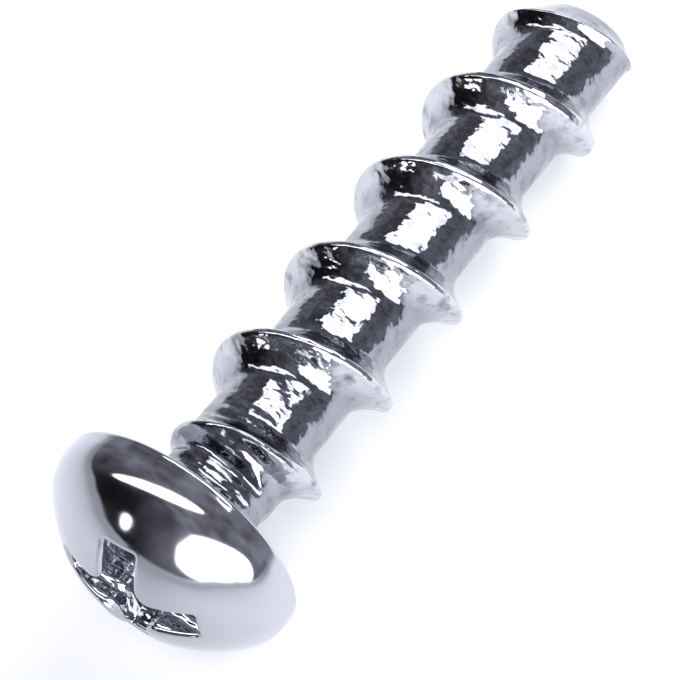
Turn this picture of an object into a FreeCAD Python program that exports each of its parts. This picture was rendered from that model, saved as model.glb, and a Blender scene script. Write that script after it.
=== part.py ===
"""Self-tapping bone screw with a domed cross-recess head, one piece of metal.

The screw is drawn along its own axis, with zero at the seat under the head and the tip at the far
end. It is then laid down the way it rests on a table: on the lower edge of its head and on the
thread near its tip, which leaves the tip a little lower than the head.
"""
import FreeCAD, Part
import math
import os

import Sketcher

V = FreeCAD.Vector

# Driving sizes, in millimetres and degrees
SIZES = {
    # domed head
    "head_diameter": 6.4,
    "head_height": 2.5,
    "rim_height": 0.34,
    "rim_radius": 0.15,
    "shoulder_radius": 1.25,
    # neck, core, and the blunt tip where the core flares and is cut off at a slight slant
    "neck_fillet": 0.72,
    "core_diameter": 2.6,
    "shank_length": 16.5,
    "flare_length": 3.1,
    "tip_core_diameter": 2.76,
    "tip_chamfer": 0.3,
    "end_slant": 9,
    "end_slant_turn": 165,
    # single right-hand thread
    "thread_diameter": 4.0,
    "thread_pitch": 2.85,
    "crest_width": 0.14,
    "crest_slope": 35,
    "root_slope": 50,
    "root_height": 0.28,
    # where its first turn stands, where it has full height, and how it fades at both ends
    "thread_start": 1.63,
    "run_in_length": 1.82,
    "run_in_slope": 56,
    "taper_length": 3.7,
    "crest_drop": 0.29,
    # cross recess
    "recess_span": 4.1,
    "recess_width": 0.95,
    "recess_corner": 0.42,
    "recess_depth": 1.75,
    "recess_turn": 9,
    "recess_edge": 0.12,
    "floor_span": 2.5,
    "floor_width": 0.7,
    "pit_diameter": 0.64,
    "pit_depth": 0.3,
    # how far the screw is rolled about its own axis as it lies
    "lie_roll": 158,
}


def make_sheet(doc):
    """Puts every driving size in a sheet, one row each, with its name as the alias."""
    sheet = doc.addObject("Spreadsheet::Sheet", "sizes")
    for row, (name, value) in enumerate(SIZES.items(), start=1):
        sheet.set(f"A{row}", name)
        sheet.set(f"B{row}", str(value))
        sheet.setAlias(f"B{row}", name)
    doc.recompute()
    return sheet


def new_sketch(body, name, role):
    """An empty sketch on one of the body's own origin planes."""
    plane = next(f for f in body.Origin.OriginFeatures if f.Role == role)
    sketch = body.newObject("Sketcher::SketchObject", name)
    sketch.AttachmentSupport = [(plane, "")]
    sketch.MapMode = "FlatFace"
    return sketch


def worth(sketch, formula):
    """What a formula comes to with the present sizes."""
    return float(sketch.evalExpression(formula))


def measure(sketch, kind, places, formula):
    """Adds a measured constraint and ties it to the sheet."""
    index = sketch.addConstraint(Sketcher.Constraint(kind, *places, worth(sketch, formula)))
    sketch.setExpression(f"Constraints[{index}]", formula)


def relate(sketch, kind, *places):
    """Adds a constraint that has no size, such as tangent or level."""
    sketch.addConstraint(Sketcher.Constraint(kind, *places))


def pin(sketch, line, across, along):
    """Holds a line's first end at a distance from the axis and a place along it."""
    for kind, formula, axis in (("DistanceX", across, -2), ("DistanceY", along, -1)):
        if formula == "0":
            relate(sketch, "PointOnObject", line, 1, axis)
        else:
            measure(sketch, kind, (-1, 1, line, 1), formula)


def draw_polygon(sketch, corners):
    """A closed outline of straight lines, each corner given by two formulas."""
    points = [V(worth(sketch, across), worth(sketch, along), 0) for across, along in corners]
    following = points[1:] + points[:1]
    for start, end in zip(points, following):
        sketch.addGeometry(Part.LineSegment(start, end), False)
    for line, (across, along) in enumerate(corners):
        relate(sketch, "Coincident", line, 2, (line + 1) % len(corners), 1)
        pin(sketch, line, across, along)


def arc(centre, radius, start, end):
    """A counter-clockwise arc between two angles in degrees."""
    circle = Part.Circle(centre, V(0, 0, 1), radius)
    return Part.ArcOfCircle(circle, math.radians(start), math.radians(end))


def draw_blank(sketch, sheet):
    """Half of the turned blank: crown, shoulder, rim, seat, neck, core, and a flare past the tip's end."""
    rim = sheet.head_diameter / 2
    core = sheet.core_diameter / 2
    tip = sheet.tip_core_diameter / 2
    shoulder = sheet.shoulder_radius
    edge = sheet.rim_radius
    neck = sheet.neck_fillet
    top = -sheet.head_height
    band = -sheet.rim_height
    length = sheet.shank_length
    flared_from = length - sheet.flare_length
    past = length + sheet.thread_pitch / 4
    widest = tip + (tip - core) * (past - length) / sheet.flare_length
    # The crown's arc meets the axis squarely and touches the shoulder's arc from outside
    reach = rim - shoulder
    rise = band - top
    crown = (rise**2 + reach**2 - shoulder**2) / (2 * (rise - shoulder))
    turn = math.degrees(math.asin(reach / (crown - shoulder)))

    pieces = [
        arc(V(0, top + crown, 0), crown, -90, turn - 90),
        arc(V(reach, band, 0), shoulder, turn - 90, 0),
        Part.LineSegment(V(rim, band, 0), V(rim, -edge, 0)),
        arc(V(rim - edge, -edge, 0), edge, 0, 90),
        Part.LineSegment(V(rim - edge, 0, 0), V(core + neck, 0, 0)),
        arc(V(core + neck, neck, 0), neck, 180, 270),
        Part.LineSegment(V(core, neck, 0), V(core, flared_from, 0)),
        Part.LineSegment(V(core, flared_from, 0), V(widest, past, 0)),
        Part.LineSegment(V(widest, past, 0), V(0, past, 0)),
        Part.LineSegment(V(0, past, 0), V(0, top, 0)),
    ]
    for piece in pieces:
        sketch.addGeometry(piece, False)
    crown_arc, shoulder_arc, rim_line, rim_arc, seat, neck_arc = range(6)
    side, flare, end, axis = range(6, 10)
    relate(sketch, "Tangent", crown_arc, 2, shoulder_arc, 1)
    relate(sketch, "Tangent", shoulder_arc, 2, rim_line, 1)
    relate(sketch, "Tangent", rim_line, 2, rim_arc, 1)
    relate(sketch, "Tangent", rim_arc, 2, seat, 1)
    relate(sketch, "Tangent", seat, 2, neck_arc, 2)
    relate(sketch, "Tangent", neck_arc, 1, side, 1)
    relate(sketch, "Coincident", side, 2, flare, 1)
    relate(sketch, "Coincident", flare, 2, end, 1)
    relate(sketch, "Coincident", end, 2, axis, 1)
    relate(sketch, "Coincident", axis, 2, crown_arc, 1)
    for line in (rim_line, side):
        relate(sketch, "Vertical", line)
    for line in (seat, end):
        relate(sketch, "Horizontal", line)
    relate(sketch, "PointOnObject", crown_arc, 3, -2)
    relate(sketch, "PointOnObject", axis, 1, -2)
    relate(sketch, "PointOnObject", axis, 2, -2)
    relate(sketch, "PointOnObject", seat, 1, -1)

    measure(sketch, "Radius", (shoulder_arc,), "sizes.shoulder_radius")
    measure(sketch, "Radius", (rim_arc,), "sizes.rim_radius")
    measure(sketch, "Radius", (neck_arc,), "sizes.neck_fillet")
    measure(sketch, "DistanceX", (-1, 1, rim_line, 2), "sizes.head_diameter / 2")
    measure(sketch, "DistanceX", (-1, 1, side, 2), "sizes.core_diameter / 2")
    measure(sketch, "DistanceY", (-1, 1, flare, 1), "sizes.shank_length - sizes.flare_length")
    growth = "(sizes.tip_core_diameter - sizes.core_diameter) / 2"
    spare = "sizes.thread_pitch / 4"
    widest = f"sizes.tip_core_diameter / 2 + {growth} * {spare} / sizes.flare_length"
    measure(sketch, "DistanceX", (-1, 1, end, 1), widest)
    measure(sketch, "DistanceY", (-1, 1, end, 1), f"sizes.shank_length + {spare}")
    measure(sketch, "DistanceY", (rim_line, 1, -1, 1), "sizes.rim_height")
    measure(sketch, "DistanceY", (axis, 2, -1, 1), "sizes.head_height")


def draw_ridge(sketch, centre):
    """The thread's section: a narrow crest, a knee in each flank, and a root sunk in the core."""
    half_crest = "sizes.crest_width / 2"
    crest = "sizes.thread_diameter / 2"
    knee = "sizes.core_diameter / 2 + sizes.root_height"
    sunk = "sizes.core_diameter / 2 - sizes.root_height"
    half_knee = f"{half_crest} + ({crest} - ({knee})) * tan(sizes.crest_slope * 1 deg)"
    half_root = f"{half_knee} + 2 * sizes.root_height * tan(sizes.root_slope * 1 deg)"
    flank = [(sunk, half_root), (knee, half_knee), (crest, half_crest)]
    corners = [(across, f"{centre} - ({half})") for across, half in flank]
    corners += [(across, f"{centre} + ({half})") for across, half in reversed(flank)]
    draw_polygon(sketch, corners)


def revolve(body, kind, name, outline):
    """Turns an outline right round the screw's axis, as metal or as a cut."""
    turned = body.newObject(f"PartDesign::{kind}", name)
    turned.Profile = outline
    turned.ReferenceAxis = (outline, ["V_Axis"])
    turned.Angle = 360
    return turned


def draw_cross(sketch, span, width):
    """A cross with four equal arms and rounded inner corners, drawn a quarter at a time."""
    half = worth(sketch, span) / 2
    side = worth(sketch, width) / 2
    corner = worth(sketch, "sizes.recess_corner")
    inner = side + corner
    quarter_outline = [V(half, -side), V(half, side), V(inner, side), V(side, inner), V(side, half)]
    for quarter in range(4):
        turn = FreeCAD.Rotation(V(0, 0, 1), 90 * quarter)
        points = [turn.multVec(point) for point in quarter_outline]
        centre = turn.multVec(V(inner, inner))
        sketch.addGeometry(Part.LineSegment(points[0], points[1]), False)
        sketch.addGeometry(Part.LineSegment(points[1], points[2]), False)
        sketch.addGeometry(arc(centre, corner, 180 + 90 * quarter, 270 + 90 * quarter), False)
        sketch.addGeometry(Part.LineSegment(points[3], points[4]), False)
    for quarter in range(4):
        arm_end, arm_side, rounding, next_side = (4 * quarter + i for i in range(4))
        level = quarter % 2 == 0
        along, across = ("DistanceX", "DistanceY") if level else ("DistanceY", "DistanceX")
        with_arm, over_arm = ("Horizontal", "Vertical") if level else ("Vertical", "Horizontal")
        ahead = "" if quarter in (0, 1) else "-"
        aside = "" if quarter in (0, 3) else "-"
        relate(sketch, over_arm, arm_end)
        relate(sketch, with_arm, arm_side)
        relate(sketch, over_arm, next_side)
        relate(sketch, "Coincident", arm_end, 2, arm_side, 1)
        relate(sketch, "Tangent", arm_side, 2, rounding, 2)
        relate(sketch, "Tangent", rounding, 1, next_side, 1)
        relate(sketch, "Coincident", next_side, 2, (4 * quarter + 4) % 16, 1)
        measure(sketch, along, (-1, 1, arm_end, 1), f"{ahead}({span}) / 2")
        measure(sketch, across, (-1, 1, arm_side, 1), f"{aside}({width}) / 2")
        measure(sketch, along, (-1, 1, next_side, 2), f"{ahead}({width}) / 2")
        measure(sketch, "Radius", (rounding,), "sizes.recess_corner")


def place_cross(sketch, depth):
    """Sets a cross square to the axis, turned about it, at a depth below the crown's top."""
    sketch.setExpression("AttachmentOffset.Base.z", f"{depth} - sizes.head_height")
    sketch.setExpression("AttachmentOffset.Rotation.Angle", "sizes.recess_turn * 1 deg")


def mouth_edges(shape):
    """The names of the edges where the recess breaks through the crown, the largest sphere."""
    spheres = [face.Surface.Radius for face in shape.Faces if isinstance(face.Surface, Part.Sphere)]
    crown = max(spheres)
    names = []
    for number, edge in enumerate(shape.Edges, start=1):
        surfaces = [face.Surface for face in shape.ancestorsOfType(edge, Part.Face)]
        on_crown = any(isinstance(s, Part.Sphere) and s.Radius == crown for s in surfaces)
        on_wall = any(not isinstance(s, (Part.Sphere, Part.Toroid)) for s in surfaces)
        if on_crown and on_wall:
            names.append(f"Edge{number}")
    return names


def add_thread(body):
    """One ridge wound past both ends of the shank, then trimmed to fade out at each."""
    outer = "sizes.thread_diameter"
    crest = "sizes.thread_diameter / 2"
    ridge = new_sketch(body, "ridge_section", "XZ_Plane")
    draw_ridge(ridge, "(sizes.thread_start - sizes.thread_pitch)")
    body.Document.recompute()
    thread = body.newObject("PartDesign::AdditiveHelix", "thread")
    thread.Profile = ridge
    thread.ReferenceAxis = (ridge, ["V_Axis"])
    thread.Mode = "pitch-height-angle"
    thread.setExpression("Pitch", "sizes.thread_pitch")
    thread.setExpression("Height", "sizes.shank_length - sizes.thread_start + 2 * sizes.thread_pitch")
    body.Document.recompute()

    # Run-in: a cone takes the ridge down to nothing at the neck
    slope = "tan(sizes.run_in_slope * 1 deg)"
    before = "sizes.thread_start - 3 * sizes.thread_pitch"
    run_in = new_sketch(body, "run_in_outline", "XZ_Plane")
    draw_polygon(run_in, [
        ("0", before),
        (outer, before),
        (outer, f"sizes.run_in_length + ({outer} - {crest}) / {slope}"),
        ("0", f"sizes.run_in_length - {crest} / {slope}"),
    ])
    revolve(body, "Groove", "run_in", run_in)
    body.Document.recompute()

    # Taper: the crest sinks over the last turns
    past = "sizes.shank_length + 2 * sizes.thread_pitch"
    taper = "(sizes.crest_drop / sizes.taper_length)"
    fade = new_sketch(body, "taper_outline", "XZ_Plane")
    draw_polygon(fade, [
        (outer, f"sizes.shank_length - sizes.taper_length - ({outer} - {crest}) / {taper}"),
        (outer, past),
        (f"{crest} - {taper} * (sizes.taper_length + 2 * sizes.thread_pitch)", past),
    ])
    revolve(body, "Groove", "taper", fade)
    body.Document.recompute()


def cut_end(body):
    """Cuts the tip off at a slant and bevels its edge, over ridge and core alike."""
    flat = "(sizes.tip_core_diameter / 2 - sizes.tip_chamfer)"
    outer = "sizes.thread_diameter"
    past = "(2 * sizes.thread_pitch)"
    outline = new_sketch(body, "end_outline", "XZ_Plane")
    draw_polygon(outline, [
        ("0", "0"),
        (flat, "0"),
        (outer, f"{flat} - {outer}"),
        (outer, past),
        ("0", past),
    ])
    place = "vector(0; sizes.shank_length * 1 mm; 0)"
    turn = "rotation(vector(0; 1; 0); sizes.end_slant_turn * 1 deg)"
    slant = "rotation(vector(0; 0; 1); sizes.end_slant * 1 deg)"
    outline.setExpression("AttachmentOffset", f"placement({place}; {turn} * {slant})")
    revolve(body, "Groove", "end", outline)
    body.Document.recompute()


def add_recess(body):
    """A cross recess that tapers to a flat floor, with a small conical pit and a rounded mouth."""
    mouth = new_sketch(body, "recess_mouth", "XY_Plane")
    draw_cross(mouth, "sizes.recess_span", "sizes.recess_width")
    place_cross(mouth, "0")
    floor = new_sketch(body, "recess_floor", "XY_Plane")
    draw_cross(floor, "sizes.floor_span", "sizes.floor_width")
    place_cross(floor, "sizes.recess_depth")
    body.Document.recompute()
    recess = body.newObject("PartDesign::SubtractiveLoft", "cross_recess")
    recess.Profile = mouth
    recess.Sections = [floor]
    recess.Ruled = True
    body.Document.recompute()

    floor_at = "(sizes.recess_depth - sizes.head_height)"
    above = f"{floor_at} - sizes.pit_depth"
    wide = "sizes.pit_diameter / 2"
    pit_outline = new_sketch(body, "pit_outline", "XZ_Plane")
    draw_polygon(pit_outline, [
        ("0", above),
        (wide, above),
        (wide, floor_at),
        ("0", f"{floor_at} + sizes.pit_depth"),
    ])
    pit = revolve(body, "Groove", "recess_pit", pit_outline)
    body.Document.recompute()
    rounded = body.newObject("PartDesign::Fillet", "recess_edge")
    rounded.Base = (pit, mouth_edges(pit.Shape))
    rounded.setExpression("Radius", "sizes.recess_edge")
    body.Tip = rounded
    body.Document.recompute()


def lay_down(body):
    """Turns the screw about its own axis, then tips it until rim and thread touch the table."""
    drop = "(sizes.head_diameter - sizes.thread_diameter) / 2"
    between = "(sizes.shank_length - sizes.taper_length + sizes.rim_radius)"
    tip_over = f"rotation(vector(0; 1; 0); 90 deg + atan({drop} / {between}))"
    roll = "rotation(vector(0; 0; 1); sizes.lie_roll * 1 deg)"
    body.setExpression("Placement", f"placement(vector(0; 0; 0); {tip_over} * {roll})")
    body.Document.recompute()


def build_screw(doc, sheet):
    """The whole screw as one body: thread, turned blank and cross recess, laid on its side."""
    body = doc.addObject("PartDesign::Body", "bone_screw")
    body.Label = "bone_screw"
    add_thread(body)
    outline = new_sketch(body, "blank_outline", "XZ_Plane")
    draw_blank(outline, sheet)
    # The outline stands midway between two arms of the recess, clear of its corners
    between_arms = "rotation(vector(0; 1; 0); (sizes.recess_turn + 45) * 1 deg)"
    outline.setExpression("AttachmentOffset", f"placement(vector(0; 0; 0); {between_arms})")
    revolve(body, "Revolution", "blank", outline)
    doc.recompute()
    cut_end(body)
    add_recess(body)
    lay_down(body)
    return body


def check(doc, body):
    """Stops if a feature failed, if a cut took no metal, or if the screw isn't one sound solid."""
    for obj in doc.Objects:
        if "Invalid" in obj.State or "Error" in obj.State:
            raise RuntimeError(f"{obj.Name} failed: {obj.State}")
    steps = [obj for obj in body.Group if obj.isDerivedFrom("PartDesign::Feature")]
    for before, after in zip(steps, steps[1:]):
        adds_metal = after.isDerivedFrom("PartDesign::Revolution")
        if (after.Shape.Volume > before.Shape.Volume) != adds_metal:
            raise RuntimeError(f"{after.Name} worked the wrong way")
    if body.Shape.isNull() or not body.Shape.isValid() or len(body.Shape.Solids) != 1:
        raise RuntimeError("the screw is not one sound solid")


def main():
    doc = FreeCAD.newDocument("screw")
    sheet = make_sheet(doc)
    screw = build_screw(doc, sheet)
    check(doc, screw)
    os.makedirs("parts", exist_ok=True)
    screw.Shape.exportStep(f"parts/{screw.Label}.step")
    print(screw.Label, round(screw.Shape.Volume, 3), "mm3", len(screw.Shape.Faces), "faces")


main()
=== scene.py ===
"""A polished bone screw on a pale floor: its fine surface, its metal, the studio and the camera."""
import math

import bpy
import numpy as np
from mathutils import Matrix, Vector


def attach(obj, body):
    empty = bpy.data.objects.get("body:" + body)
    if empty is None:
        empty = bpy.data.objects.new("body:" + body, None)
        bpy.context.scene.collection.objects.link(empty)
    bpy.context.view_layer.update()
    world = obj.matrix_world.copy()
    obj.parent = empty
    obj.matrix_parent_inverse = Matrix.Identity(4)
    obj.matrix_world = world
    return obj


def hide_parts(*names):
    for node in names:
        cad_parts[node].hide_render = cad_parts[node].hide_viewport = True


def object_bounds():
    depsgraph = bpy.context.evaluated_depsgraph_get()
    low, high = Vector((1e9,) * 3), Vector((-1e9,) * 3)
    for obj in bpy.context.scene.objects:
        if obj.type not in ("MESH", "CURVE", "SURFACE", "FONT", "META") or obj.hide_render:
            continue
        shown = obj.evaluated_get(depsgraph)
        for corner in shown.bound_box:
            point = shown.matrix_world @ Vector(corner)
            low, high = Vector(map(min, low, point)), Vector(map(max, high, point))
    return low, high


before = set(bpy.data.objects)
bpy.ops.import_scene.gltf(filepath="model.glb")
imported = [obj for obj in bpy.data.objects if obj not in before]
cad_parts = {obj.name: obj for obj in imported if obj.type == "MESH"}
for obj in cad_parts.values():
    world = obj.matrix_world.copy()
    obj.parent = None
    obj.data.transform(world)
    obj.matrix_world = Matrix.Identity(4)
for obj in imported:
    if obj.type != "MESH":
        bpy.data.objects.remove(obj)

MM = 0.001
FULL_TURN = 2 * math.pi

# Head, in millimetres: it and the shank are a few microns smaller than the solid, to stay inside it
HEAD_RADIUS = 3.197
HEAD_HEIGHT = 2.497
RIM_HEIGHT = 0.34
RIM_ROUND = 0.15
SHOULDER_ROUND = 1.25

# Crown: a sphere that runs smoothly into the shoulder's round, where both have turned by one bend
SHOULDER_REACH = HEAD_RADIUS - SHOULDER_ROUND
CROWN_RISE = HEAD_HEIGHT - RIM_HEIGHT
CROWN_RADIUS = (CROWN_RISE**2 + SHOULDER_REACH**2 - SHOULDER_ROUND**2) / (2 * (CROWN_RISE - SHOULDER_ROUND))
MEETING_BEND = math.asin(SHOULDER_REACH / (CROWN_RADIUS - SHOULDER_ROUND))

# Neck, core and tip, which is cut off at a slant
NECK_ROUND = 0.72
CORE_RADIUS = 1.3
SHANK_LENGTH = 16.495
FLARE_LENGTH = 3.1
TIP_RADIUS = 1.38
TIP_BEVEL = 0.3
END_SLANT = math.radians(9)
END_SLANT_TURN = math.radians(165)

# Thread, with the rounding of its edges and of its run-in under the head
THREAD_RADIUS = 2.0
PITCH = 2.85
CREST_WIDTH = 0.14
FLANK_WIDTH = 0.75
FLANK_HOLLOW = 1.85
THREAD_START = 1.63
RUN_IN_END = 1.82
RUN_IN_SLOPE = math.tan(math.radians(56))
TAPER_LENGTH = 3.7
CREST_DROP = 0.29
EDGE_SOFT = 0.035
RUN_IN_SOFT = 0.22

# Cross recess
RECESS_SPAN = 4.1
RECESS_WIDTH = 0.95
FLOOR_SPAN = 2.5
FLOOR_WIDTH = 0.7
INNER_ROUND = 0.42
ARM_ROUND = 0.07
RECESS_DEPTH = 1.75
RECESS_TURN = math.radians(9)
MOUTH_ROUND = 0.12
FOOT_ROUND = 0.08
PIT_RADIUS = 0.32
PIT_DEPTH = 0.3

# How the screw lies: rolled about its axis, and drooping until rim and crests both touch the floor
LIE_ROLL = math.radians(158)
DROOP = math.atan((HEAD_RADIUS - THREAD_RADIUS) / (SHANK_LENGTH - TAPER_LENGTH + RIM_ROUND))

# Mesh density round the screw: steps along the parts of the recess's outline, which has four arms
ARM_END_STEPS = 4
ARM_SIDE_STEPS = 13
INNER_STEPS = 14
COLUMNS = 4 * (4 * ARM_END_STEPS + 2 * ARM_SIDE_STEPS + INNER_STEPS)

# Mesh density along the screw
FLOOR_STEPS = 8
FOOT_STEPS = 4
WALL_STEPS = 16
MOUTH_STEPS = 6
CROWN_STEPS = 22
SHOULDER_STEPS = 20
RIM_STEPS = 6
NECK_STEPS = 14
RING_STEP = 0.024
ROWS_PER_TURN = 44
ROW_GATHER = 1.45
SPARE_TURNS = 2
BEVEL_REACH = 1.3
END_RING_SHARES = (1, 0.97, 0.5)

# Rounds of nearing the line where the recess's walls cross the crown
SETTLING_ROUNDS = 30

# Metal colours: polished on the head, darker at the thread's core as painted shade and lighter on the ridge
# as painted light, and stained
HEAD_COLOUR = (0.46, 0.47, 0.515, 1)
# Painted light on the ridge and painted shade at the core, blended by distance from the axis
RIDGE_LIGHT_COLOUR = (0.5, 0.51, 0.55, 1)
CORE_SHADE_COLOUR = (0.27, 0.28, 0.315, 1)
STAIN_COLOUR = (0.17, 0.17, 0.2, 1)
HEAD_EDGE = (0, 0.6 * MM)
CORE_SHADE_EDGES = (1.35 * MM, 1.75 * MM)
STAIN_SIZE = 0.35 * MM
STAIN_DETAIL = 4
STAIN_EDGES = (0.5, 0.75)

# Metal surface: ripples, faint on the head and strong in the recess, and haze
RIPPLE_SIZE = 0.75 * MM
RIPPLE_SQUEEZE = (1.6, 1, 1)
RIPPLE_DETAIL = 2.5
RIPPLE_DEPTH = 0.08 * MM
HEAD_RIPPLE = 0.03
RECESS_DENT = 0.09 * MM
RECESS_RIPPLE = 1
HAZE_SIZE = 1.5 * MM
HAZE_DETAIL = 2
SMOOTHEST = 0.05
ROUGHEST = 0.14

# Tool marks round the neck: waves that turn by the wave rate, in radians, for each unit of scale
WAVE_RATE = 20
TOOL_MARK_PITCH = 0.48 * MM
TOOL_MARK_DEPTH = 0.8
TOOL_MARKS_END = (2.2 * MM, 3.2 * MM)
TOOL_MARK_WANDER = 3
TOOL_MARK_DETAIL = 2
TOOL_MARK_DETAIL_SCALE = 0.6

# Floor, with a painted pool of light that glows from it, dimmer close beside the screw as painted shadow
FLOOR_SIZE = 1.2
FLOOR_COLOUR = (0.62, 0.63, 0.66, 1)
FLOOR_ROUGHNESS = 0.8
FLOOR_SPECULAR = 0.1
POOL_COLOUR = (0.95, 0.96, 1, 1)
POOL_CENTRE = (16 * MM, -12 * MM, 0)
POOL_INNER = 18 * MM
POOL_OUTER = 62 * MM
POOL_GLOW = 0.8
# Painted shadow: the pool's glow falls to this share within these distances beside the screw's axis
SHADE_EDGES = (1 * MM, 7 * MM)
SHADE_SHARE = 0.55

# Lamps, and the dim room behind them with its dark side and its clouds
LAMP_DISTANCE = 0.4
LAMP_GLOW = 4.0
PANEL_PLACE = (27 * MM, 0, 0)
PANEL_HEIGHT = 26 * MM
SKY_COLOUR = (0.86, 0.86, 1, 1)
SKY_GLOW = 0.3
DARK_SIDE = (228, 5)
DARK_SIDE_EDGES = (0.5, 0.95)
DARK_SIDE_SHADE = 0.06
CLOUD_SIZE = 0.35
CLOUD_DETAIL = 3
CLOUD_EDGES = (0.3, 0.7)
CLOUD_SHADES = (0.4, 1.6)
BRIGHTEST_CLOUD = 2

# Camera, fitted to the photograph
CAMERA_ELEVATION = math.radians(66.786)
CAMERA_AZIMUTH = math.radians(-54.933)
CAMERA_ROLL = math.radians(0.293)
CAMERA_PLACE = Vector((-27.02, -23.26, 93.52)) * MM
FOCAL_PIXELS = 4406
IMAGE_PIXELS = 680
SENSOR_WIDTH = 36
NEAREST_SEEN = 1 * MM


def crown_height(radius):
    """Place along the axis of the crown's sphere, at a distance from the axis."""
    return CROWN_RADIUS - HEAD_HEIGHT - np.sqrt(CROWN_RADIUS**2 - radius**2)


def soft_min(a, b, width):
    """The smaller of two surfaces, with the corner between them rounded."""
    share = np.clip(0.5 + 0.5 * (b - a) / width, 0, 1)
    return b + (a - b) * share - width * share * (1 - share)


def soft_max(a, b, width):
    """The larger of two surfaces, with the corner between them rounded."""
    return -soft_min(-a, -b, width)


def ridge_radius(angle, z):
    """Distance from the axis of the thread's ridge, trimmed by its run-in and by its taper."""
    from_crest = z - THREAD_START - PITCH * angle / FULL_TURN
    # The nearest turn of the ridge, which begins one turn ahead of its named start
    turn = np.maximum(np.round(from_crest / PITCH), np.ceil(-angle / FULL_TURN - 1))
    away = np.abs(from_crest - PITCH * turn) - CREST_WIDTH / 2
    share = np.clip(1 - away / FLANK_WIDTH, 0, 2)
    ridge = CORE_RADIUS + (THREAD_RADIUS - CORE_RADIUS) * share**FLANK_HOLLOW
    taper = THREAD_RADIUS - np.maximum(z - SHANK_LENGTH + TAPER_LENGTH, 0) * CREST_DROP / TAPER_LENGTH
    run_in = THREAD_RADIUS + (z - RUN_IN_END) * RUN_IN_SLOPE
    return soft_min(soft_min(ridge, taper, 2 * EDGE_SOFT), run_in, RUN_IN_SOFT)


def core_radius(z):
    """Distance from the axis of the core, which flares a little towards the tip."""
    flare = np.maximum((z - SHANK_LENGTH + FLARE_LENGTH) / FLARE_LENGTH, 0)
    return CORE_RADIUS + (TIP_RADIUS - CORE_RADIUS) * flare


def bevel_radius(angle, z):
    """Distance from the axis of the bevel round the slanted end."""
    aside = np.cos(angle - END_SLANT_TURN)
    squeeze = np.sqrt(1 - (aside * math.sin(END_SLANT)) ** 2)
    fall = math.cos(END_SLANT) * (1 + aside * math.sin(END_SLANT) / squeeze)
    return (TIP_RADIUS - TIP_BEVEL + (SHANK_LENGTH - z) * fall) / (squeeze - aside * math.sin(END_SLANT))


def shank_radius(angle, z):
    """Distance of the shank's surface from its axis, at an angle round it and a place along it."""
    smoothing = EDGE_SOFT + (RUN_IN_SOFT - EDGE_SOFT) * np.clip(2 - z / RUN_IN_END, 0, 1)
    threaded = soft_max(ridge_radius(angle, z), core_radius(z), smoothing)
    return soft_min(threaded, bevel_radius(angle, z), EDGE_SOFT)


def end_height(angle, radius):
    """Place along the axis of the slanted end face."""
    return SHANK_LENGTH + radius * np.cos(angle - END_SLANT_TURN) * math.tan(END_SLANT)


class Skin:
    """A surface put together from closed loops of points round the axis."""

    def __init__(self):
        self.points = []
        self.faces = []

    def add(self, points):
        """Adds points, and gives their numbers."""
        first = len(self.points)
        self.points.extend(tuple(p) for p in points)
        return list(range(first, len(self.points)))

    def face(self, *corners):
        """Adds a face, unless its corners fall together into a line."""
        kept = list(dict.fromkeys(corners))
        if len(kept) > 2:
            self.faces.append(kept)

    def band(self, near, far):
        """Faces between two rows of points."""
        count = len(near)
        for i in range(count):
            k = (i + 1) % count
            self.face(near[i], near[k], far[k], far[i])

    def bands(self, loops):
        """Bands through loops of points; gives each loop's point numbers."""
        rows = [self.add(loop) for loop in loops]
        for near, far in zip(rows, rows[1:]):
            self.band(near, far)
        return rows

    def cap(self, row, point):
        """A fan that closes a row, whose points run anticlockwise seen from outside."""
        centre, = self.add([point])
        for a, b in zip(row, row[1:] + row[:1]):
            self.face(centre, a, b)


def circle(radius, z, angles):
    """A loop round the axis, whose radius and height may change with the angle."""
    spread = np.ones(len(angles))
    return np.column_stack([radius * np.cos(angles), radius * np.sin(angles), z * spread])


def unit(vectors):
    """Vectors of length one in the same directions."""
    return vectors / np.linalg.norm(vectors, axis=-1, keepdims=True)


def steps(start, end, count):
    """Evenly spaced values from start to end, without the start."""
    return np.linspace(start, end, count + 1)[1:]


def arc_points(centre, radius, start, sweep, count):
    """Points on an arc without its end, and the directions away from its centre."""
    angles = math.radians(start) + math.radians(sweep) * np.arange(count) / count
    away = np.column_stack([np.cos(angles), np.sin(angles)])
    return np.array(centre) + radius * away, away


def run_points(start, end, normal, count):
    """Points on a straight run without its end, and its normal at each."""
    share = (np.arange(count) / count)[:, None]
    points = np.array(start) + (np.array(end) - np.array(start)) * share
    return points, np.tile(np.array(normal, float), (count, 1))


def quarter_outline(span, width):
    """A quarter of a cross's outline, from the middle of one arm's end to the middle of the next."""
    end, side = span / 2, width / 2
    inner = side + INNER_ROUND
    bend = ARM_ROUND
    inner_arc, into_arc = arc_points((inner, inner), INNER_ROUND, 270, -90, INNER_STEPS)
    pieces = [
        run_points((end, 0), (end, side - bend), (1, 0), ARM_END_STEPS),
        arc_points((end - bend, side - bend), bend, 0, 90, ARM_END_STEPS),
        run_points((end - bend, side), (inner, side), (0, 1), ARM_SIDE_STEPS),
        (inner_arc, -into_arc),
        run_points((side, inner), (side, end - bend), (1, 0), ARM_SIDE_STEPS),
        arc_points((side - bend, end - bend), bend, 0, 90, ARM_END_STEPS),
        run_points((side - bend, end), (0, end), (0, 1), ARM_END_STEPS),
    ]
    return [np.concatenate(part) for part in zip(*pieces)]


def cross_outline(span, width):
    """Outline of a cross, with normals that point into the metal."""
    points, normals = quarter_outline(span, width)
    quarters = []
    for quarter in range(4):
        turn = RECESS_TURN + FULL_TURN * quarter / 4
        spin = np.array([[math.cos(turn), math.sin(turn)], [-math.sin(turn), math.cos(turn)]])
        quarters.append((points @ spin, normals @ spin))
    return [np.concatenate(part) for part in zip(*quarters)]


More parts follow.
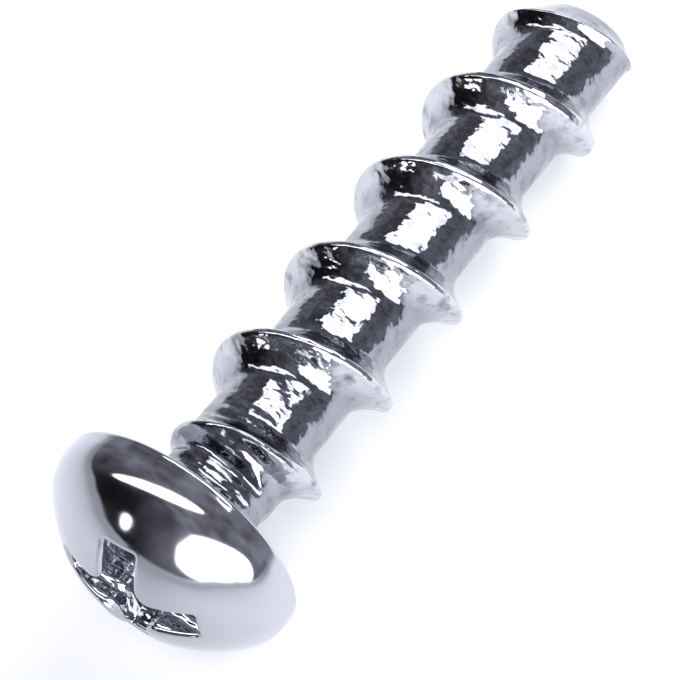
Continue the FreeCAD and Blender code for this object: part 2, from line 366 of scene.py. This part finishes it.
def rounded_edge(corner, leave, enter, radius, count):
    """Loops round an edge, tangent to the surfaces that run from it along leave and enter."""
    leave, enter = unit(leave), unit(enter)
    half = np.arccos((leave * enter).sum(-1, keepdims=True)) / 2
    centre = corner + unit(leave + enter) * radius / np.sin(half)
    first = corner + leave * radius / np.tan(half) - centre
    last = corner + enter * radius / np.tan(half) - centre
    turn = math.pi - 2 * half
    loops = []
    for share in np.linspace(0, 1, count + 1):
        away = (first * np.sin((1 - share) * turn) + last * np.sin(share * turn)) / np.sin(turn)
        loops.append(centre + away)
    return loops


def between(first, last, count):
    """Loops from one loop to another, without the first."""
    return [first + (last - first) * share for share in steps(0, 1, count)]


def meet_crown(mouth, lean):
    """Where the recess's walls cross the crown: the outline there, and its depth under the top."""
    depth = np.zeros(len(mouth))
    for _ in range(SETTLING_ROUNDS):
        edge = mouth + lean * depth[:, None]
        depth = crown_height(np.linalg.norm(edge, axis=-1)) + HEAD_HEIGHT
    return edge, depth


def recess_loops():
    """Loops from the pit up the recess's walls and round its mouth, out to the crown."""
    mouth, normal = cross_outline(RECESS_SPAN, RECESS_WIDTH)
    floor_outline, _ = cross_outline(FLOOR_SPAN, FLOOR_WIDTH)
    lean = (floor_outline - mouth) / RECESS_DEPTH
    edge, depth = meet_crown(mouth, lean)
    # Along each line of the wall: straight down it, outwards over the crown, and inwards at its foot
    sink = (lean * normal).sum(-1, keepdims=True)
    down = np.column_stack([normal * sink, np.ones(len(normal))])
    slope = (edge * normal).sum(-1) / np.sqrt(CROWN_RADIUS**2 - (edge**2).sum(-1))
    over = np.column_stack([normal, slope])
    inwards = np.column_stack([-normal, np.zeros(len(normal))])
    bottom = RECESS_DEPTH - HEAD_HEIGHT
    top = np.column_stack([edge, depth - HEAD_HEIGHT])
    foot = np.column_stack([floor_outline, np.full(len(floor_outline), bottom)])
    foot_round = rounded_edge(foot, inwards, -down, FOOT_ROUND, FOOT_STEPS)
    mouth_round = rounded_edge(top, down, over, MOUTH_ROUND, MOUTH_STEPS)
    angles = np.arctan2(floor_outline[:, 1], floor_outline[:, 0])
    pit_wall = circle(PIT_RADIUS / 2, bottom + PIT_DEPTH / 2, angles)
    pit_edge = circle(PIT_RADIUS, bottom, angles)
    loops = [pit_wall, pit_edge] + between(pit_edge, foot_round[0], FLOOR_STEPS) + foot_round[1:]
    return loops + between(foot_round[-1], mouth_round[0], WALL_STEPS) + mouth_round[1:]


def crown_loops(start, angles):
    """Loops that spread from the recess's mouth over the crown, to where it meets the shoulder."""
    start_radius = np.linalg.norm(start[:, :2], axis=-1)
    start_angle = np.unwrap(np.arctan2(start[:, 1], start[:, 0]))
    start_angle += FULL_TURN * np.round((angles[0] - start_angle[0]) / FULL_TURN)
    meeting = SHOULDER_REACH + SHOULDER_ROUND * math.sin(MEETING_BEND)
    loops = []
    for share in steps(0, 1, CROWN_STEPS):
        radius = start_radius + (meeting - start_radius) * share
        loops.append(circle(radius, crown_height(radius), start_angle + (angles - start_angle) * share))
    return loops


def shoulder_loops(angles):
    """Loops over the shoulder and the rim to the seat."""
    loops = []
    for bend in steps(MEETING_BEND, math.pi / 2, SHOULDER_STEPS):
        height = -RIM_HEIGHT - SHOULDER_ROUND * math.cos(bend)
        loops.append(circle(SHOULDER_REACH + SHOULDER_ROUND * math.sin(bend), height, angles))
    for bend in np.linspace(0, math.pi / 2, RIM_STEPS + 1):
        radius = HEAD_RADIUS - RIM_ROUND * (1 - math.cos(bend))
        loops.append(circle(radius, RIM_ROUND * (math.sin(bend) - 1), angles))
    return loops


def neck_loops(angles):
    """Loops over the seat and round the fillet onto the core."""
    foot = CORE_RADIUS + NECK_ROUND
    loops = [circle((HEAD_RADIUS - RIM_ROUND + foot) / 2, 0, angles)]
    for bend in np.linspace(0, math.pi / 2, NECK_STEPS + 1):
        loops.append(circle(foot - NECK_ROUND * math.sin(bend), NECK_ROUND * (1 - math.cos(bend)), angles))
    return loops


def plain_rings(low, high, angles):
    """Rings of the shank's surface between two heights, close enough to catch its edges."""
    count = math.ceil(np.max(high - low) / RING_STEP)
    heights = [low + (high - low) * share for share in np.linspace(0, 1, count + 1)]
    return [circle(shank_radius(angles, z), z, angles) for z in heights]


def end_rings(angles):
    """Rings from the edge of the slanted end face towards its middle."""
    edge = (TIP_RADIUS - TIP_BEVEL) * math.cos(END_SLANT)
    edge = edge / np.sqrt(1 - (np.sin(angles - END_SLANT_TURN) * math.sin(END_SLANT)) ** 2)
    return [circle(edge * share, end_height(angles, edge * share), angles) for share in END_RING_SHARES]


def row_starts(low, high):
    """Heights where the winding rows start, gathered at the crest, with spare turns at both ends."""
    spread = np.linspace(-1, 1, ROWS_PER_TURN + 1)[:-1]
    gathered = np.sign(spread) * np.abs(spread) ** ROW_GATHER * PITCH / 2
    first_turn = math.floor((low - THREAD_START) / PITCH) - SPARE_TURNS
    last_turn = math.ceil((high - THREAD_START) / PITCH) + SPARE_TURNS
    crests = [THREAD_START + PITCH * turn for turn in range(first_turn, last_turn)]
    return [crest + step for crest in crests for step in gathered]


def winding_band(skin, low_ring, high_ring, low, high, angles):
    """The threaded length, in rows that wind with the ridge and join a ring at each end."""
    rows = []
    for start in row_starts(low, high):
        z = start + PITCH * angles[0] / FULL_TURN + PITCH * (angles - angles[0]) / FULL_TURN
        inside = (z > low) & (z < high)
        fresh = iter(skin.add(circle(shank_radius(angles, z), z, angles)[inside]))
        rows.append([
            next(fresh) if inside[i] else (low_ring if z[i] <= low else high_ring)[i]
            for i in range(len(angles))
        ])
    # After a whole turn, each row runs on into the row that starts one pitch further along
    next_rows = rows[ROWS_PER_TURN:]
    for near, far, near_next, far_next in zip(rows, rows[1:], next_rows, next_rows[1:]):
        near_closed = near + near_next[:1]
        far_closed = far + far_next[:1]
        for i in range(len(near)):
            skin.face(near_closed[i], near_closed[i + 1], far_closed[i + 1], far_closed[i])


def build_skin():
    """The whole screw as one closed surface along its own axis, and its number of recess faces."""
    skin = Skin()
    angles = RECESS_TURN + FULL_TURN * np.arange(COLUMNS) / COLUMNS
    band_start, band_end = RUN_IN_END + EDGE_SOFT, SHANK_LENGTH - BEVEL_REACH
    recess = recess_loops()
    end_face = end_rings(angles)
    head = recess + crown_loops(recess[-1], angles) + shoulder_loops(angles) + neck_loops(angles)
    upper = skin.bands(head + plain_rings(NECK_ROUND + RING_STEP, band_start, angles))
    lower = skin.bands(plain_rings(band_end, end_face[0][:, 2], angles) + end_face[1:])
    winding_band(skin, upper[-1], lower[0], band_start, band_end, angles)
    skin.cap(upper[0][::-1], (0, 0, RECESS_DEPTH - HEAD_HEIGHT + PIT_DEPTH))
    skin.cap(lower[-1], (0, 0, SHANK_LENGTH))
    return skin, COLUMNS * (len(recess) - 1 - MOUTH_STEPS)


def lie_down(points):
    """From the screw's own axis to its resting place on the floor, in metres."""
    tilt = Matrix.Rotation(math.pi / 2 + DROOP, 3, "Y")
    turn = np.array(tilt @ Matrix.Rotation(LIE_ROLL, 3, "Z"))
    return np.array(points) @ turn.T * MM


def build_screw():
    """The screw as one object, whose first faces, inside the recess, get the rougher steel."""
    skin, recess_faces = build_skin()
    mesh = bpy.data.meshes.new("polished_screw")
    mesh.from_pydata(lie_down(skin.points).tolist(), [], skin.faces)
    mesh.validate()
    mesh.shade_smooth()
    mesh.materials.append(steel("polished_steel", HEAD_RIPPLE, RIPPLE_DEPTH))
    mesh.materials.append(steel("recess_steel", RECESS_RIPPLE, RECESS_DENT))
    for face in mesh.polygons[:recess_faces]:
        face.material_index = 1
    screw = bpy.data.objects.new("polished_screw", mesh)
    bpy.context.collection.objects.link(screw)
    return screw


def new_material(name):
    """A material, with its node tree and its shader."""
    material = bpy.data.materials.new(name)
    material.use_nodes = True
    return material, material.node_tree, material.node_tree.nodes["Principled BSDF"]


def fill(tree, socket, value):
    """Gives a socket a fixed value, or links it to another node's output."""
    if isinstance(value, bpy.types.NodeSocket):
        tree.links.new(value, socket)
    else:
        socket.default_value = value


def fill_all(tree, node, values):
    """Fills a node's sockets, which are named or counted from nought."""
    for key, value in values.items():
        fill(tree, node.inputs[key], value)


def add_node(tree, kind, values, **settings):
    """A new node with its settings and the values of its sockets."""
    node = tree.nodes.new("ShaderNode" + kind)
    for setting, value in settings.items():
        setattr(node, setting, value)
    fill_all(tree, node, values)
    return node


def maths(tree, operation, *values):
    """A sum done on values."""
    return add_node(tree, "Math", dict(enumerate(values)), operation=operation).outputs["Value"]


def vector_maths(tree, operation, output, *vectors):
    """A sum done on vectors."""
    return add_node(tree, "VectorMath", dict(enumerate(vectors)), operation=operation).outputs[output]


def rescale(tree, value, old, new):
    """Takes a value from one range to another and holds it at both ends."""
    ends = dict(zip(("From Min", "From Max", "To Min", "To Max"), (*old, *new)))
    return add_node(tree, "MapRange", {"Value": value, **ends}).outputs["Result"]


def patches(tree, place, size, detail):
    """Soft irregular patches of about one size, as values round a half."""
    values = {"Vector": place, "Scale": 1 / size, "Detail": detail}
    return add_node(tree, "TexNoise", values).outputs["Fac"]


def mix_colours(tree, share, first, second):
    """A blend of two colours."""
    mix = tree.nodes.new("ShaderNodeMix")
    mix.data_type = "RGBA"
    sockets = {socket.identifier: socket for socket in (*mix.inputs, *mix.outputs)}
    fill(tree, sockets["Factor_Float"], share)
    fill(tree, sockets["A_Color"], first)
    fill(tree, sockets["B_Color"], second)
    return sockets["Result_Color"]


def along_axis(tree, place, axis):
    """A place's coordinate along X, Y or Z."""
    return add_node(tree, "SeparateXYZ", {"Vector": place}).outputs[axis]


def distance_from_axis(tree, place):
    """How far a place on the screw is from the screw's own axis."""
    level = add_node(tree, "Mapping", {"Vector": place, "Rotation": (0, -DROOP, 0)}).outputs["Vector"]
    across = vector_maths(tree, "MULTIPLY", "Vector", level, (0, 1, 1))
    return vector_maths(tree, "LENGTH", "Value", across)


def tool_marks(tree, place, along):
    """Grooves round the neck, left where the thread begins."""
    marks = add_node(tree, "TexWave", {
        "Vector": place,
        "Scale": FULL_TURN / WAVE_RATE / TOOL_MARK_PITCH,
        "Distortion": TOOL_MARK_WANDER,
        "Detail": TOOL_MARK_DETAIL,
        "Detail Scale": TOOL_MARK_DETAIL_SCALE,
    })
    share = rescale(tree, along, TOOL_MARKS_END, (TOOL_MARK_DEPTH, 0))
    return maths(tree, "MULTIPLY", marks.outputs["Fac"], share)


def steel_bump(tree, place, along, strength, depth):
    """Ripples of a strength and depth, with the tool marks among them."""
    squeezed = add_node(tree, "Mapping", {"Vector": place, "Scale": RIPPLE_SQUEEZE}).outputs["Vector"]
    ripples = patches(tree, squeezed, RIPPLE_SIZE, RIPPLE_DETAIL)
    height = maths(tree, "ADD", ripples, tool_marks(tree, place, along))
    values = {"Strength": strength, "Distance": depth, "Height": height}
    return add_node(tree, "Bump", values).outputs["Normal"]


def steel_colour(tree, place, threaded):
    """One colour on the head, and where the screw is threaded, painted shade at the core rising to painted
    light on the ridge, with stains.
    """
    stain = rescale(tree, patches(tree, place, STAIN_SIZE, STAIN_DETAIL), STAIN_EDGES, (0, 1))
    # Painted shade towards the core, painted light towards the ridge
    outwards = rescale(tree, distance_from_axis(tree, place), CORE_SHADE_EDGES, (0, 1))
    thread = mix_colours(tree, outwards, CORE_SHADE_COLOUR, RIDGE_LIGHT_COLOUR)
    stained = mix_colours(tree, stain, thread, STAIN_COLOUR)
    return mix_colours(tree, threaded, HEAD_COLOUR, stained)


def steel(name, head_ripple, depth):
    """Steel whose ripples have a strength of their own on the head, and are full under it."""
    material, tree, shader = new_material(name)
    place = add_node(tree, "TexCoord", {}).outputs["Object"]
    along = along_axis(tree, place, "X")
    threaded = rescale(tree, along, HEAD_EDGE, (0, 1))
    strength = rescale(tree, threaded, (0, 1), (head_ripple, 1))
    haze = patches(tree, place, HAZE_SIZE, HAZE_DETAIL)
    fill_all(tree, shader, {
        "Metallic": 1,
        "Base Color": steel_colour(tree, place, threaded),
        "Roughness": rescale(tree, haze, (0, 1), (SMOOTHEST, ROUGHEST)),
        "Normal": steel_bump(tree, place, along, strength, depth),
    })
    return material


def pale_floor():
    """The floor's material, which glows in a painted pool of light, dimmed close beside the screw as
    painted shadow.
    """
    material, tree, shader = new_material("pale_floor")
    place = add_node(tree, "TexCoord", {}).outputs["Object"]
    reach = vector_maths(tree, "DISTANCE", "Value", place, POOL_CENTRE)
    pool = rescale(tree, reach, (POOL_INNER, POOL_OUTER), (POOL_GLOW, 0))
    # Painted shadow: the glow is dimmed close beside the screw's axis
    beside = maths(tree, "ABSOLUTE", along_axis(tree, place, "Y"))
    painted_shadow_factor = rescale(tree, beside, SHADE_EDGES, (SHADE_SHARE, 1))
    fill_all(tree, shader, {
        "Base Color": FLOOR_COLOUR,
        "Roughness": FLOOR_ROUGHNESS,
        "Specular IOR Level": FLOOR_SPECULAR,
        "Emission Color": POOL_COLOUR,
        "Emission Strength": maths(tree, "MULTIPLY", pool, painted_shadow_factor),
    })
    return material


def floor(level):
    """A wide floor under the screw."""
    bpy.ops.mesh.primitive_plane_add(size=FLOOR_SIZE, location=(0, 0, level))
    plane = bpy.context.object
    plane.name = "floor"
    plane.data.materials.append(pale_floor())


def direction(azimuth, elevation):
    """Unit vector to a compass direction, in degrees: azimuth 0 is the front, 90 the right."""
    azimuth, elevation = math.radians(azimuth), math.radians(elevation)
    level = math.cos(elevation)
    return Vector((math.sin(azimuth) * level, -math.cos(azimuth) * level, math.sin(elevation)))


def dark_sky():
    """The dim room behind the lamps: uneven charcoal, and nearly black low down on one side."""
    world = bpy.data.worlds.new("studio")
    bpy.context.scene.world = world
    world.use_nodes = True
    tree = world.node_tree
    place = add_node(tree, "TexCoord", {}).outputs["Generated"]
    facing = vector_maths(tree, "DOT_PRODUCT", "Value", place, direction(*DARK_SIDE))
    shade = rescale(tree, facing, DARK_SIDE_EDGES, (1, DARK_SIDE_SHADE))
    clouds = rescale(tree, patches(tree, place, CLOUD_SIZE, CLOUD_DETAIL), CLOUD_EDGES, CLOUD_SHADES)
    glow = maths(tree, "MULTIPLY", shade, clouds)
    strength = rescale(tree, glow, (0, BRIGHTEST_CLOUD), (0, BRIGHTEST_CLOUD * SKY_GLOW))
    fill_all(tree, tree.nodes["Background"], {"Color": SKY_COLOUR, "Strength": strength})


def softbox(name, target, start, end, width, distance=LAMP_DISTANCE, shape="ELLIPSE"):
    """A lamp that spans the sky between two directions from its target, which it faces."""
    light = bpy.data.lights.new(name, "AREA")
    light.shape = shape
    light.size = 2 * distance * math.tan(start.angle(end) / 2)
    light.size_y = 2 * distance * math.tan(math.radians(width) / 2)
    area = light.size * light.size_y * (math.pi / 4 if shape == "ELLIPSE" else 1)
    light.energy = LAMP_GLOW * math.pi * area
    lamp = bpy.data.objects.new(name, light)
    lamp.visible_camera = False
    bpy.context.collection.objects.link(lamp)
    away = (start + end).normalized()
    side = (end - start).normalized()
    turn = Matrix((side, away.cross(side), away)).transposed()
    lamp.matrix_world = Matrix.Translation(target + away * distance) @ turn.to_4x4()


def studio(target):
    """The room and its lamps, each from one direction to another and a width across, in degrees."""
    dark_sky()
    softbox("window", target, direction(279, 15), direction(353, 15), 44)
    softbox("overhead_strip", target, direction(208, 20), direction(350, 70), 17)
    softbox("small_lamp", target, direction(239, 11), direction(247, 11), 9)
    under_panel = Vector(PANEL_PLACE)
    softbox("near_panel", under_panel, direction(180, 54), direction(0, 54), 44, PANEL_HEIGHT, "RECTANGLE")


def camera():
    """The camera, where the photograph was taken from."""
    data = bpy.data.cameras.new("camera")
    data.sensor_fit = "HORIZONTAL"
    data.sensor_width = SENSOR_WIDTH
    data.lens = data.sensor_width * FOCAL_PIXELS / IMAGE_PIXELS
    data.clip_start = NEAREST_SEEN
    view = bpy.data.objects.new("camera", data)
    bpy.context.collection.objects.link(view)
    turn = Matrix.Rotation(CAMERA_AZIMUTH, 4, "Z") @ Matrix.Rotation(math.pi / 2 - CAMERA_ELEVATION, 4, "X")
    view.matrix_world = Matrix.Translation(CAMERA_PLACE) @ turn @ Matrix.Rotation(CAMERA_ROLL, 4, "Z")
    bpy.context.scene.camera = view


def main():
    """The screw in its studio, with the floor and lamps placed from the size of the solid."""
    cad_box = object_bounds()
    low, high = (Vector(corner) for corner in cad_box)
    screw = build_screw()
    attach(screw, "root")
    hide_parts("bone_screw")
    floor(low.z)
    studio((low + high) / 2)
    camera()
    bpy.context.scene.view_settings.view_transform = "Standard"


main()
